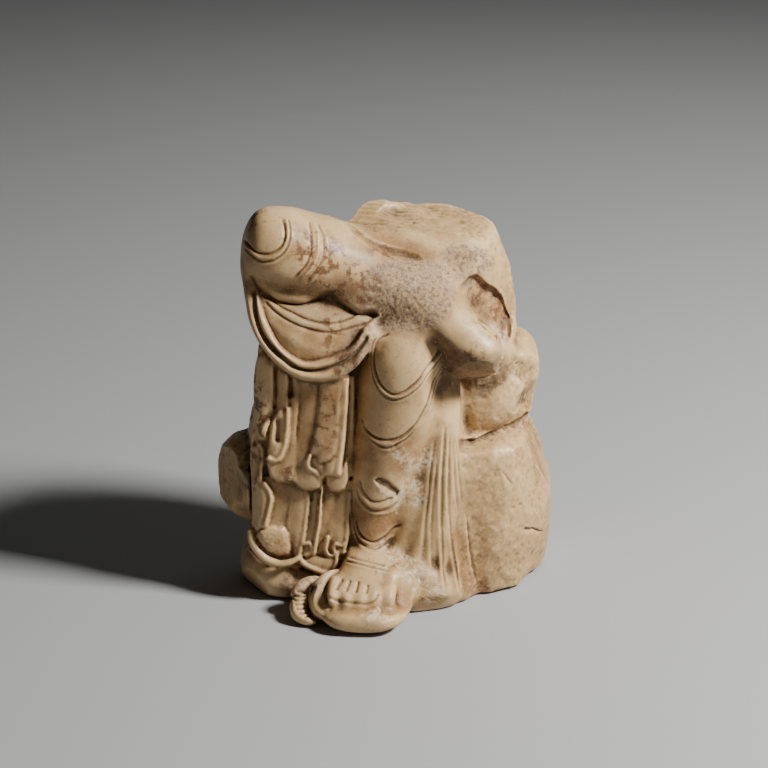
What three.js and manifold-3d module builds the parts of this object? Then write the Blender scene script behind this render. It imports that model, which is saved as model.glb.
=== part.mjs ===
import * as THREE from "three";
import { mergeVertices } from "three/addons/utils/BufferGeometryUtils.js";
import Module from "manifold-3d";

// The lower half of a seated figure, carved with its rock seat from one block of marble and broken
// off at the waist. The left leg hangs down to a foot on a lotus pad, and the right leg is folded
// across it. Millimetres, +Z up. -Y is the front, and the origin is under the middle of the block.

const wasm = await Module();
wasm.setup();

// Main sizes of the figure.
const WAIST = { centre: [18, 17], height: 159.2, lean: 7, fall: 6 };
const KNEE_TIP = -58.5;
const SHIN_RADIUS = 18.5;
const LEG_RADIUS = 18;
const FOOT_WIDTH = 30;
const PAD_HEIGHT = 11;
const UPPER_HEM = 54;
const LOWER_HEM = 19;
const PLEAT_FRONT = -26;
const ROCK_DEPTH = 34;

const vector = (x, y, z) => new THREE.Vector3(x, y, z);
const radians = THREE.MathUtils.degToRad;

// A closed geometry as a solid that can be joined and cut.
function solid(geometry) {
  geometry.deleteAttribute("normal");
  geometry.deleteAttribute("uv");
  const merged = mergeVertices(geometry, 1e-4);
  return new wasm.Manifold(
    new wasm.Mesh({
      numProp: 3,
      vertProperties: merged.attributes.position.array,
      triVerts: new Uint32Array(merged.index.array),
    }),
  );
}

// A solid's faces as a geometry.
function geometryOf(shape) {
  const mesh = shape.getMesh();
  return new THREE.BufferGeometry()
    .setAttribute("position", new THREE.BufferAttribute(mesh.vertProperties, 3))
    .setIndex(new THREE.BufferAttribute(mesh.triVerts, 1));
}

const join = (solids) => solids.reduce((whole, next) => whole.add(next));

// Moves every point of a geometry by a function of the point.
function reshape(geometry, move) {
  const points = geometry.attributes.position;
  for (let i = 0; i < points.count; i++) {
    const moved = move(vector().fromBufferAttribute(points, i));
    points.setXYZ(i, moved.x, moved.y, moved.z);
  }
  return geometry;
}

// A rounded limb. Its stations are [x, y, z, half width, half depth], and the width lies along
// `across`. A sphere's rings are laid along the line of the stations, `blunt` squares its two
// ends, and `swell` is a factor at a share of its length and an angle round it.
function limb(stations, { across = [1, 0, 0], around = 20, along = 12, blunt = 3, swell } = {}) {
  const line = new THREE.CatmullRomCurve3(stations.map((s) => vector(s[0], s[1], s[2])));
  const sizes = new THREE.CatmullRomCurve3(stations.map((s) => vector(s[3], s[4], 0)));
  const side = vector(...across);
  const ball = new THREE.SphereGeometry(1, around, along);
  reshape(ball, (p) => {
    const level = Math.sign(p.y) * Math.abs(p.y) ** (2 / blunt);
    const share = (1 - level) / 2;
    const angle = Math.atan2(p.z, p.x);
    const fullness = Math.hypot(p.x, p.z) ** (2 / blunt) * (swell ? swell(share, angle) : 1);
    const tangent = line.getTangent(share);
    const wide = side.clone().addScaledVector(tangent, -side.dot(tangent)).normalize();
    const deep = tangent.clone().cross(wide);
    const size = sizes.getPoint(share);
    return line
      .getPoint(share)
      .addScaledVector(wide, size.x * fullness * Math.cos(angle))
      .addScaledVector(deep, size.y * fullness * Math.sin(angle));
  });
  return solid(ball);
}

// Numbers from 0 to 1 that look random and are the same at every run.
function numbersFrom(seed) {
  let state = seed;
  return () => {
    state = (state * 16807) % 2147483647;
    return state / 2147483647;
  };
}

// A rounded rock with flat faces struck off it, none of them deeper than `least` of its radius.
// `boxy` squares its outline.
function boulder(centre, half, { seed = 1, facets = 8, detail = 3, boxy = 2.6, least = 0.8 } = {}) {
  const random = numbersFrom(seed * 7919);
  const faces = Array.from({ length: facets }, () => {
    const rise = 2 * random() - 1;
    const bearing = 2 * Math.PI * random();
    const level = Math.sqrt(1 - rise * rise);
    return {
      normal: vector(level * Math.cos(bearing), level * Math.sin(bearing), rise),
      reach: least + (1 - least) * random(),
    };
  });
  const ball = new THREE.IcosahedronGeometry(1, detail);
  reshape(ball, (p) => {
    const direction = p.clone().normalize();
    const [x, y, z] = direction.toArray().map(Math.abs);
    let reach = (x ** boxy + y ** boxy + z ** boxy) ** (-1 / boxy);
    for (const face of faces) {
      const facing = direction.dot(face.normal);
      if (facing > 0) reach = Math.min(reach, face.reach / facing);
    }
    return direction.multiplyScalar(reach).multiply(vector(...half));
  });
  ball.translate(...centre);
  return solid(ball);
}

// A hanging fold of cloth with a flat front. It runs from `top` down to `hem`, from x = head[0] to
// head[1] above and foot[0] to foot[1] below, and its hem sags in a curve between the corners. Its
// front is at y = `front`, turned and tipped by angles in degrees.
function pleat({ head, foot, top, hem, sag = 2, front = PLEAT_FRONT, thick = 10, turn = 0, tip = 0 }) {
  const middle = (foot[0] + foot[1]) / 2;
  const at = (x, z) => [x - middle, z - hem];
  const shape = new THREE.Shape();
  shape.moveTo(...at(head[1], top));
  shape.lineTo(...at(head[0], top));
  shape.lineTo(...at(foot[0], hem + sag));
  shape.bezierCurveTo(...at(foot[0], hem - sag / 3), ...at(foot[1], hem - sag), ...at(foot[1], hem + sag));
  const bevel = 0.9;
  const geometry = new THREE.ExtrudeGeometry(shape, {
    depth: thick,
    bevelSize: bevel,
    bevelOffset: -bevel,
    bevelThickness: bevel,
    bevelSegments: 1,
    curveSegments: 4,
  });
  geometry.translate(0, 0, -thick - bevel);
  geometry.rotateX(Math.PI / 2 + radians(tip));
  geometry.rotateZ(radians(turn));
  geometry.translate(middle, front, hem);
  return solid(geometry);
}

// A rounded cord along a curve through points, with a section of a few sides.
function cord(points, radius, { sides = 5, steps = 12 } = {}) {
  const section = new THREE.Shape(
    Array.from({ length: sides }, (_, i) => {
      const angle = (2 * Math.PI * i) / sides;
      return new THREE.Vector2(radius * Math.cos(angle), radius * Math.sin(angle));
    }),
  );
  const path = new THREE.CatmullRomCurve3(points);
  return solid(new THREE.ExtrudeGeometry(section, { steps, extrudePath: path, bevelEnabled: false }));
}

// Cords laid on the front or the back of a solid along curves through [x, z] points.
function cordsOn(base, rows) {
  const target = new THREE.Mesh(geometryOf(base), new THREE.MeshBasicMaterial());
  const finder = new THREE.Raycaster();
  return rows.map(({ line, radius = 1, steps = 14, sides = 4, ahead = 1 }) => {
    const flat = new THREE.CatmullRomCurve3(line.map(([x, z]) => vector(x, 0, z)));
    const points = flat.getPoints(steps).flatMap((p) => {
      finder.set(vector(p.x, -200 * ahead, p.z), vector(0, ahead, 0));
      return finder.intersectObject(target).slice(0, 1).map((hit) => hit.point);
    });
    return cord(points, radius, { sides, steps });
  });
}

// The rock seat: boulders stacked behind and beside the legs.
function seat() {
  const left = [
    boulder([-52, 16, 44], [21, 24, 21], { seed: 12, detail: 2 }),
    boulder([-38, -2, 13], [25, 26, 17], { seed: 14, boxy: 3, detail: 2 }),
  ];
  const right = [
    boulder([42, 14, 33], [31.5, 37, 37.5], { seed: 9, boxy: 5.5, facets: 7, least: 0.93 }),
    boulder([42, 14, 89], [25, 24, 22], { seed: 8, boxy: 3.6, detail: 2 }),
    boulder([43, 5, 102], [14, 15, 15], { seed: 5, facets: 3, detail: 1 }),
  ];
  const behind = [
    boulder([0, 17, 42], [60, ROCK_DEPTH, 56], { seed: 3, boxy: 3.4 }),
    boulder([-8, 12, 102], [43, 30, 32], { seed: 21, boxy: 3, facets: 5, detail: 2, least: 0.88 }),
    boulder([-37, 4, 120], [18, 18, 18], { seed: 2, facets: 3, boxy: 3, detail: 1 }),
    boulder([-38, 1, 68], [17.5, 20, 50], { seed: 17, facets: 2, boxy: 5, detail: 1 }),
  ];
  return [...left, ...right, ...behind];
}

// The hips, cut off by the break at the waist.
function hips() {
  const [x, y] = WAIST.centre;
  return limb(
    [
      [26, y + 3, 92, 26, 20],
      [24, y + 1, 118, 34.5, 26],
      [x + 1, y - 1, 140, 33, 26],
      [x, y, 180, 30.5, 18],
    ],
    { around: 22, along: 10 },
  ).subtract(aboveWaist());
}

// Everything above the break, which slopes forwards and to the right.
function aboveWaist() {
  const size = 120;
  const cells = 10;
  const block = new THREE.BoxGeometry(size, size, size, cells, cells, 1);
  reshape(block, (p) => {
    if (p.z < 0) p.z += brokenHeight(p.x, p.y, 0.8);
    return p;
  });
  block.rotateX(radians(WAIST.lean));
  block.rotateY(radians(WAIST.fall));
  block.translate(...WAIST.centre, WAIST.height + size / 2);
  return solid(block);
}

// Height of an uneven broken surface at a place on it.
function brokenHeight(x, y, rough) {
  return rough * (Math.sin(0.31 * x + 1.3) * Math.cos(0.27 * y) + 0.5 * Math.sin(0.71 * x - 0.53 * y));
}

// The right leg, folded: the knee at the left, the shin and its broken foot across the lap.
function foldedLeg() {
  const across = [0, 0, 1];
  return [
    limb(
      [
        [KNEE_TIP, -10, 155.5, SHIN_RADIUS + 1.5, SHIN_RADIUS],
        [-38, -7, 151, SHIN_RADIUS, SHIN_RADIUS + 1],
        [-16, 0, 142.5, SHIN_RADIUS - 0.5, 22],
        [12, 6, 137, 16, 24],
      ],
      { across, around: 19, along: 12, blunt: 3.6 },
    ),
    limb(
      [
        [-26, -8, 144, 11, 13],
        [-6, -7, 137, 16, 16],
        [16, -7, 131, 16, 16],
        [34, -7, 125, 14, 13],
      ],
      { across, around: 16, along: 8 },
    ),
    limb(
      [
        [6, -10, 131, 14, 13],
        [27, -19, 121, 13.5, 13],
        [46, -27, 108, 10.5, 11],
      ],
      { across, around: 14, along: 8, blunt: 6 },
    ),
  ];
}

// The left leg, hanging, and the thigh that runs back from its knee.
function hangingLeg() {
  return [
    limb(
      [
        [9, -18, 126, LEG_RADIUS - 1, 14],
        [8, -18, 104, LEG_RADIUS, 18],
        [5, -17, 78, LEG_RADIUS, 17],
        [-1, -17, 54, 15.5, 15],
        [-4, -17, 35, 12.5, 13],
        [-5, -17, 12, 11.5, 13],
      ],
      { around: 18, along: 15, blunt: 4 },
    ),
    limb(
      [
        [8, -14, 112, 16, 13],
        [16, 8, 116, 18, 16],
      ],
      { around: 14, along: 8 },
    ),
  ];
}

// The robe that fans down from the left knee to a hem beside the foot.
function robe() {
  return limb(
    [
      [19, -10, 112, 13, 12],
      [20, -12, 64, 13.5, 14],
      [22, -14, 26, 18, 17],
      [23, -14, -2, 21, 19],
    ],
    { around: 16, along: 9, blunt: 8 },
  );
}

// The skirt over the front of the seat, and its two tiers of knife pleats.
function skirt() {
  const upper = [
    { head: [-53, -44], foot: [-58, -50], hem: UPPER_HEM + 3, front: PLEAT_FRONT + 6, turn: -16 },
    { head: [-46, -38.5], foot: [-49.5, -43], hem: UPPER_HEM + 11, front: PLEAT_FRONT + 1.5, turn: -10 },
    { head: [-41, -28], foot: [-49, -38], hem: UPPER_HEM + 1, front: PLEAT_FRONT + 1, turn: -6 },
    { head: [-38, -28], foot: [-41, -27], hem: UPPER_HEM - 1, turn: 4 },
    { head: [-28, -15.5], foot: [-32, -19.5], hem: UPPER_HEM + 12, front: PLEAT_FRONT - 2.5, turn: -5 },
    { head: [-28, -17], foot: [-29, -16.5], hem: UPPER_HEM, front: PLEAT_FRONT - 1, sag: 3 },
    { head: [-20, -13.5], foot: [-20, -14], hem: UPPER_HEM, front: PLEAT_FRONT + 2 },
  ].map((row) => pleat({ top: 115, ...row }));
  const lower = [
    { head: [-58, -49], foot: [-57, -48], hem: 31, front: PLEAT_FRONT + 1, turn: -16, sag: 4 },
    { head: [-50, -39.5], foot: [-52, -43], hem: LOWER_HEM + 3, front: PLEAT_FRONT, turn: -8 },
    { head: [-40, -32], foot: [-43, -36.5], hem: LOWER_HEM, front: PLEAT_FRONT - 2, turn: -6 },
    { head: [-32, -25.5], foot: [-36, -29.5], hem: LOWER_HEM + 3, front: PLEAT_FRONT - 2, turn: -5 },
    { head: [-27, -19.5], foot: [-34, -21], hem: LOWER_HEM - 3 },
    { head: [-21, -14], foot: [-24, -16], hem: LOWER_HEM + 3, front: PLEAT_FRONT - 1.5, turn: -4 },
  ].map((row) => pleat({ top: 60, tip: -5, ...row }));
  const lining = { top: 115, hem: LOWER_HEM + 4, front: PLEAT_FRONT + 5.5, thick: 30 };
  const core = pleat({ head: [-51, -13], foot: [-55, -14], ...lining });
  return [core, ...upper, ...lower, ...turnedHems()];
}

// The turned ends of pleats, where the hem doubles back, and the rolled edge of a rounded lap.
function turnedHems() {
  const front = PLEAT_FRONT - 2;
  const turns = [
    [[-31.5, 67], [-29, 64], [-26.5, 61], [-26, 56], [-26, 49]],
    [[-34, 27], [-31, 26.5], [-30.3, 23.5], [-33, 21.5]],
    [[-24, 30], [-21.5, 26.5], [-19.5, 24], [-20, 17]],
  ].map((line) => cord(line.map(([x, z]) => vector(x, front, z)), 1.1, { steps: 8 }));
  const lapEdge = [
    [-57, -22, 34],
    [-56, -25, 27],
    [-51, -28, 21],
    [-45, -29, 18.5],
    [-37, -29, 19],
  ];
  const hemEdge = [
    [-37, -29, 18],
    [-33, -29, 19],
    [-28, -29.5, 16],
    [-20.5, -29, 16],
  ];
  return [
    ...turns,
    cord(lapEdge.map((p) => vector(...p)), 1.7, { steps: 10 }),
    cord(hemEdge.map((p) => vector(...p)), 1.5, { steps: 8 }),
    boulder([-47, -23, 27], [10, 6, 8], { facets: 2, detail: 1, boxy: 2.4 }),
  ];
}

// The cloth that hangs in a half round below the folded leg: a sheet between the shin and a rolled
// edge, with two creases.
function swag() {
  const edge = new THREE.CatmullRomCurve3(
    [
      [-58, -13, 146],
      [-55, -20, 130],
      [-46, -26, 112],
      [-28, -29, 103],
      [-12, -29, 109],
      [-4, -27, 124],
    ].map((p) => vector(...p)),
  );
  const top = new THREE.LineCurve3(vector(-57, -12, 149), vector(-3, -17, 134));
  const thick = 12;
  const sheet = new THREE.BoxGeometry(1, 1, 1, 12, 1, 3);
  reshape(sheet, (p) => {
    const share = p.x + 0.5;
    const rise = p.z + 0.5;
    const point = edge.getPoint(share).lerp(top.getPoint(share), rise);
    point.y -= 7 * Math.sin(Math.PI * rise) * Math.sin(Math.PI * share);
    point.y += (p.y + 0.5) * thick;
    return point;
  });
  const inner = edge.getPoints(8).map((p) => p.clone().lerp(vector(-30, -32, 140), 0.13));
  const rim = cord(edge.getPoints(8), 2.4);
  const innerRim = cord(inner, 1.4, { sides: 4, steps: 11 });
  return [solid(sheet), rim, innerRim];
}

// The left foot with its toes, on the lotus pad, with a curled petal and stones beside it.
function foot() {
  const toes = 5;
  const width = FOOT_WIDTH / toes;
  const row = Array.from({ length: toes }, (_, i) => {
    const x = -9.5 + (i - (toes - 1) / 2) * width;
    const tip = -54 - 2.2 * Math.sin((Math.PI * (i + 0.6)) / toes);
    const stations = [
      [x + 2, -38, 18, width / 2, 4],
      [x, -47, 15.5, width / 2, 4],
      [x, tip, 12, width / 2, 3.5],
    ];
    return limb(stations, { around: 8, along: 5 });
  });
  return [
    limb(
      [
        [-4, -16, 20, 12, 10],
        [-6, -32, 18, 13.5, 9],
        [-9, -51, 12, FOOT_WIDTH / 2 - 1, 5],
      ],
      { around: 16, along: 8 },
    ),
    ...row,
    limb(
      [
        [-10, -62, PAD_HEIGHT / 2, 17, PAD_HEIGHT / 2],
        [-8, -40, PAD_HEIGHT / 2 + 0.5, 21, PAD_HEIGHT / 2],
        [-4, -16, PAD_HEIGHT / 2 + 1, 20, PAD_HEIGHT / 2],
      ],
      { around: 16, along: 8, blunt: 4 },
    ),
    limb(
      [
        [-16, -30, 13, 4, 3.5],
        [-28, -34, 12, 4, 3.5],
        [-35, -39, 8, 5, 3.8],
        [-35.5, -46, 4, 5, 3.8],
        [-28, -52, 2.5, 4, 3.5],
      ],
      { across: [0, 1, 0], around: 8, along: 13, swell: (share) => 1 + 0.08 * Math.cos(50 * share) },
    ),
    boulder([13, -26, 6], [21, 15, 13], { seed: 4, facets: 4, detail: 2 }),
    boulder([-26, -32, 4], [12, 12, 6], { seed: 6, facets: 3, detail: 1 }),
  ];
}

// Lines of folds that stand on the carved cloth: rings below both knees, and the robe's fan.
function folds() {
  const rings = [
    [[-1.5, 121], [-4.4, 112], [-2, 103], [3.7, 97.6], [10.7, 99.4], [16.4, 105.5], [19.5, 114]],
    [[-8.5, 84], [-3.7, 78.2], [2.1, 77], [9.1, 80], [15.3, 89.7], [20.6, 99], [22.5, 105]],
    [[-10.5, 56], [-7.1, 50.8], [-2.9, 48.1], [4.2, 50.8], [7.5, 55]],
    [[-11.8, 38], [-8.9, 32.1], [-4.2, 30.3], [2.5, 33.5], [7, 39]],
    [[-56.5, 160], [-53.5, 154.5], [-48, 150.7], [-41.8, 155.8], [-39, 163.5], [-41, 169]],
    [[-34, 170], [-30.2, 163], [-29, 154], [-32, 145], [-37, 139]],
    [[-54.7, 140], [-44.7, 131], [-34.5, 125.7], [-24.2, 124], [-14, 126.5], [-9, 130]],
  ].map((line) => ({ line, steps: 7 }));
  const fan = [0, 0.22, 0.44, 0.66, 0.9].map((share) => ({
    line: [
      [26 + 6 * share, 96],
      [20 + 12 * share, 56],
      [10 + 34 * share, 8],
    ],
    radius: 1.8,
    steps: 4,
  }));
  const behind = [-0.5, -0.25, 0, 0.25, 0.5].map((share) => ({
    line: [
      [20 + 44 * share, 150],
      [22 + 50 * share, 126],
      [21 + 54 * share, 106],
    ],
    radius: 2.5,
    steps: 4,
    ahead: -1,
  }));
  return [...rings, ...fan, ...behind];
}

// Everything below the broken underside: flat in the middle and chipped upwards round its rim.
function belowGround() {
  const size = 180;
  const height = 60;
  const cells = 9;
  const flat = { halfLength: 48, halfWidth: 37, fade: 15 };
  const block = new THREE.BoxGeometry(size, size, height, cells, cells, 1);
  reshape(block, (p) => {
    const out = Math.max(0, Math.hypot(p.x / flat.halfLength, p.y / flat.halfWidth) - 1);
    const chipped = Math.min(1, (out * flat.halfLength) / flat.fade);
    if (p.z > 0) p.z += Math.max(0, brokenHeight(p.x, p.y, 2) * chipped);
    return p;
  });
  block.translate(0, 0, -height / 2);
  return solid(block);
}

// The broken hollow at the hip, beside the stump of the right foot.
function hollow() {
  return limb(
    [
      [34, -10, 137, 5, 7],
      [44, -8, 127, 8, 10],
      [54, -5, 112, 6, 9],
    ],
    { around: 10, along: 6 },
  );
}

const forms = join([
  ...seat(),
  hips().subtract(hollow()),
  ...foldedLeg(),
  ...hangingLeg(),
  robe(),
  ...skirt(),
  ...swag(),
  ...foot(),
]);
const carved = join([forms, ...cordsOn(forms, folds())]).subtract(belowGround());

const marble = new THREE.MeshStandardMaterial({ color: 0xcdb894, roughness: 0.55, metalness: 0 });
const figure = new THREE.Mesh(geometryOf(carved), marble);
figure.name = "marble_figure";
const middle = new THREE.Box3().setFromObject(figure).getCenter(vector());
figure.position.set(-middle.x, -middle.y, 0);

const group = new THREE.Group();
group.add(figure);

export default group;
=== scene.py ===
from math import cos, radians, sin

import bpy
import numpy as np
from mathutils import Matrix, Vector


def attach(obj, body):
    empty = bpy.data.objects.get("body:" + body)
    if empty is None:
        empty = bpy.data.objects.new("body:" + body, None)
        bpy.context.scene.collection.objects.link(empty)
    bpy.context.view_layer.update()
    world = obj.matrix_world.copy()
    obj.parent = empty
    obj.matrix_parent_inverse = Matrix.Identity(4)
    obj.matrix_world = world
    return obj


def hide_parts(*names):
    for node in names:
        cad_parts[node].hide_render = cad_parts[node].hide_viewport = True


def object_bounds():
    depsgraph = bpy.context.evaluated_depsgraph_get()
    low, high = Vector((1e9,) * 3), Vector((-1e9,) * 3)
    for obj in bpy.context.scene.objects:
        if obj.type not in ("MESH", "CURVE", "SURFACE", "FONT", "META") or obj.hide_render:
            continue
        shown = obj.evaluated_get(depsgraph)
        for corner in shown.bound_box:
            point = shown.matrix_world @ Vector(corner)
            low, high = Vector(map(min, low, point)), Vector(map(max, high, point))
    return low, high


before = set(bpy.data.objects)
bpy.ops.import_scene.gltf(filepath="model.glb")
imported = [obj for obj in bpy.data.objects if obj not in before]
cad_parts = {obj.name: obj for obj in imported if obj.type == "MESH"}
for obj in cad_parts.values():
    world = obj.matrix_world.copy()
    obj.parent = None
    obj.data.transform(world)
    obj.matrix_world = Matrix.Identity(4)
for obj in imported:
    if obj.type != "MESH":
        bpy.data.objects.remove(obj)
cad_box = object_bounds()
bpy.ops.object.select_all(action="DESELECT")


# The eye stands a metre off and looks down on the front by twenty degrees. What is carved on the front
# below is laid out as it appears from here, in millimetres across and up from the point aimed at.
VIEW_DOWN = radians(20)
VIEW_DISTANCE = 1000.0
AIM = np.array([-0.3, 5.5, 90.0])
ONWARD = np.array([0.0, cos(VIEW_DOWN), -sin(VIEW_DOWN)])
UPWARD = np.array([0.0, sin(VIEW_DOWN), cos(VIEW_DOWN)])
EYE = AIM - VIEW_DISTANCE * ONWARD

bpy.ops.object.camera_add(location=EYE / 1000, rotation=(radians(90) - VIEW_DOWN, 0, 0))
camera = bpy.context.object
camera.name = "camera"
camera.data.sensor_width = 36
camera.data.lens = 110
bpy.context.scene.camera = camera


# The block is white marble roughed out to the whole figure: two legs in a thin robe, their lap, and a
# seat of heaped rocks, one solid throughout. Its facets are rubbed down here, most of all on the legs,
# and it is given the fine even skin that the rest is cut into.
COARSE_SKIN = 0.0010
FINE_SKIN = 0.00050
# What is rubbed down hardest: a line through it, how far from the line, and over what that fades.
RAISED_LEG = [(-58, -4, 155), (-38, -1, 150), (-16, 6, 142), (12, 11, 137)], 23, 6
HANGING_LEG = [(9, -12, 122), (8, -12, 104), (5, -11, 78), (-1, -11, 54), (-5, -11, 22)], 20, 5
BROKEN_FOOT = [(6, -4, 131), (27, -13, 121), (40, -19, 112)], 16, 6
FRONT_OF_ROBE = [(24, -6, 96), (24, -10, 60), (24, -14, 20)], 17, 6
LAP = [(-2, -8, 138), (12, -4, 132), (30, 0, 130), (18, 0, 146), (36, 6, 146)], 17, 8
ROUNDS_OF_RUBBING = {"all": 14, "legs": 40, "lap": 110}
SPARED_AT_THE_WAIST = 0.75
RIGHT_OF_THE_THIGH = -16
# Rough stone that was left on: three rolls of crust beside the shin and the foot, the notch at the hip,
# the upper rock, the knob on the hip, the waist's left corner and the fill under the stump. Each is a
# drawn line, its depths, and how thick it is there.
BROKEN_CRUST = [
    ([(12.4, -33.2), (11.9, -41.8), (11.5, -49.4), (11.1, -57.1), (9.8, -64.8), (7.2, -71.6)],
     (-15, -15.5, -16, -16.5, -18, -21), (4, 6.5, 7, 7, 6.5, 5)),
    ([(3.4, -71.6), (6, -76.7), (7.7, -82.2), (8.5, -87.8), (9.4, -92.9)], (-21, -25, -30, -34.5, -38),
     (5, 6, 5.5, 4.5, 3)),
    ([(8.5, -68.2), (13.6, -76.3), (18.8, -83.5), (24.7, -89.5)], (-18, -24, -28, -28.5), (4, 5, 5, 3)),
    ([(53.3, 32.4), (54.1, 26.4), (53.3, 21.3), (51.6, 17)], (15, 13, 8, 4), (2, 3, 3.2, 3)),
    ([(36.6, -18.8), (41.8, -11.1), (49.4, -4.3), (54.5, 3.4)], (4, 4.5, 7, 10), (6, 10, 11, 9)),
    ([(31.1, 55.8), (34.9, 58.4), (39.2, 57.1)], (3.5, 3.2, 6), (2.5, 4, 2.6)),
    ([(-12.8, 68.6), (-9.4, 72.4), (-4.7, 75), (0.9, 75.4), (7.7, 75.4)], (14, 21, 27, 30, 32),
     (2.6, 3.6, 4, 3, 2)),
    ([(31.5, 7.7), (34.9, 4.3), (39.2, 3.8), (43.5, 6), (46.9, 9.4)], (-15, -15, -15, -14, -13),
     (4, 6, 6.5, 6, 4)),
]


def pick(piece):
    """Selects one piece alone, for the next operator."""
    bpy.ops.object.select_all(action="DESELECT")
    piece.select_set(True)
    bpy.context.view_layer.objects.active = piece


def finish_with(kind, **settings):
    """Puts one modifier on the figure and applies it."""
    pick(figure)
    modifier = figure.modifiers.new(kind.title(), kind)
    for name, value in settings.items():
        setattr(modifier, name, value)
    bpy.ops.object.modifier_apply(modifier=modifier.name)


def fresh_skin(size):
    """Gives the figure a new skin of even facets of this size, in metres."""
    finish_with("REMESH", mode="VOXEL", voxel_size=size, adaptivity=0)


def rub_down(rounds, group=""):
    """Smooths the figure by so many rounds, all over or as a vertex group says."""
    finish_with("SMOOTH", factor=0.5, iterations=rounds, vertex_group=group)


def read(rows, name):
    """Three numbers for each point of the figure."""
    flat = np.empty(len(figure.data.vertices) * 3, np.float32)
    rows.foreach_get(name, flat)
    return flat.reshape(-1, 3).astype(float)


def take():
    """The figure's points, in millimetres."""
    return read(figure.data.vertices, "co") * 1000


def put(points):
    figure.data.vertices.foreach_set("co", (points / 1000).astype(np.float32).ravel())
    figure.data.update()


def weigh(name, weights):
    """Keeps a share for each point in a vertex group, in steps of a sixteenth."""
    group = figure.vertex_groups.new(name=name)
    steps = np.round(np.clip(weights, 0, 1) * 16).astype(int)
    for step in range(1, 17):
        group.add(np.flatnonzero(steps == step).tolist(), step / 16, "REPLACE")


def ease(value):
    value = np.clip(value, 0, 1)
    return value * value * (3 - 2 * value)


def line_distance(points, line):
    """How far points are from a line, and how far along it the spot next to each one is."""
    line = np.asarray(line, float)
    nearest = np.full(len(points), 1e9)
    along = np.zeros(len(points))
    run = 0.0
    for start, end in zip(line[:-1], line[1:]):
        step = end - start
        length = np.linalg.norm(step)
        share = np.clip((points - start) @ step / length**2, 0, 1)
        gap = np.linalg.norm(points - start - share[:, None] * step, axis=1)
        closer = gap < nearest
        nearest[closer] = gap[closer]
        along[closer] = run + share[closer] * length
        run += length
    return nearest, along


def close_to(points, line, reach, fade):
    """1 within `reach` of a line and 0 beyond `reach` and `fade` together."""
    return ease((reach + fade - line_distance(points, line)[0]) / fade)


def on_waist(points, level, fade, side=8):
    """1 on the break at the waist, above a level and to the right of the raised thigh."""
    return ease((points[:, 2] - level) / fade) * ease((points[:, 0] - RIGHT_OF_THE_THIGH) / side)


def flowing(line, steps=5, closed=False):
    """A smooth line through given points."""
    line = np.asarray(line, float)
    before = line[-1:] if closed else 2 * line[:1] - line[1:2]
    after = line[:2] if closed else 2 * line[-1:] - line[-2:-1]
    posts = np.vstack([before, line, after])
    made = []
    for a, b, c, d in zip(posts[:-3], posts[1:-2], posts[2:-1], posts[3:]):
        for share in np.arange(steps) / steps:
            bend = 2 * a - 5 * b + 4 * c - d
            turn = 3 * b - a - 3 * c + d
            made.append(b + 0.5 * share * (c - a + share * (bend + share * turn)))
    return np.array(made + [line[0] if closed else line[-1]])


def coil(line, depths, radii):
    """Joins on a tapering roll of stone along a drawn line, at depths given in millimetres."""
    posts = np.column_stack([line, depths, radii]).astype(float)
    across, up, depth, radius = flowing(posts, steps=8).T
    bearing = np.stack([across, UPWARD[1] * up + VIEW_DISTANCE * ONWARD[1],
                        UPWARD[2] * up + VIEW_DISTANCE * ONWARD[2]], 1)
    path = (EYE + bearing * ((depth - EYE[1]) / bearing[:, 1])[:, None]) / 1000
    thick = bpy.data.curves.new("coil", "CURVE")
    thick.dimensions = "3D"
    thick.bevel_depth = 0.001
    thick.bevel_resolution = 6
    thick.use_fill_caps = True
    spline = thick.splines.new("POLY")
    spline.points.add(len(path) - 1)
    for post, place, size in zip(spline.points, path, radius):
        post.co = (*place, 1)
        post.radius = size
    made = bpy.data.objects.new("coil", thick)
    bpy.context.scene.collection.objects.link(made)
    pick(made)
    bpy.ops.object.convert(target="MESH")
    figure.select_set(True)
    bpy.context.view_layer.objects.active = figure
    bpy.ops.object.join()


figure = bpy.data.objects.new("carved_marble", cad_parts["marble_figure"].data.copy())
bpy.context.scene.collection.objects.link(figure)
pick(figure)
bpy.ops.object.mode_set(mode="EDIT")
bpy.ops.mesh.select_all(action="SELECT")
bpy.ops.mesh.remove_doubles(threshold=0.00001)
bpy.ops.object.mode_set(mode="OBJECT")
figure.data.materials.clear()
for line, depths, radii in BROKEN_CRUST:
    coil(line, depths, radii)

fresh_skin(COARSE_SKIN)
rough = take()
legs = np.zeros(len(rough))
for part in (RAISED_LEG, HANGING_LEG, BROKEN_FOOT, FRONT_OF_ROBE):
    legs = np.maximum(legs, close_to(rough, *part))
on_top = on_waist(rough, 156, 4)
weigh("all", 1 - SPARED_AT_THE_WAIST * on_top)
weigh("legs", legs * (1 - on_top))
weigh("lap", close_to(rough, *LAP) * (1 - on_top))
for group, rounds in ROUNDS_OF_RUBBING.items():
    rub_down(rounds, group)
figure.vertex_groups.clear()
fresh_skin(FINE_SKIN)
rub_down(5)


# The breaks are as they were found. The waist snapped off nearly level, the crossed leg lost its foot
# and hangs as a stump over the rocks, and beside it a shell of stone has split from the hip. A deep
# seam parts the upper rock from the lower one.
def seen(points):
    """Where points appear from the eye, in millimetres across and up, and how far off they are."""
    away = points - EYE
    distance = away @ ONWARD
    return np.stack([away[:, 0], away @ UPWARD], 1) * (VIEW_DISTANCE / distance)[:, None], distance


SIGHT_FADE = 3.0


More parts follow.
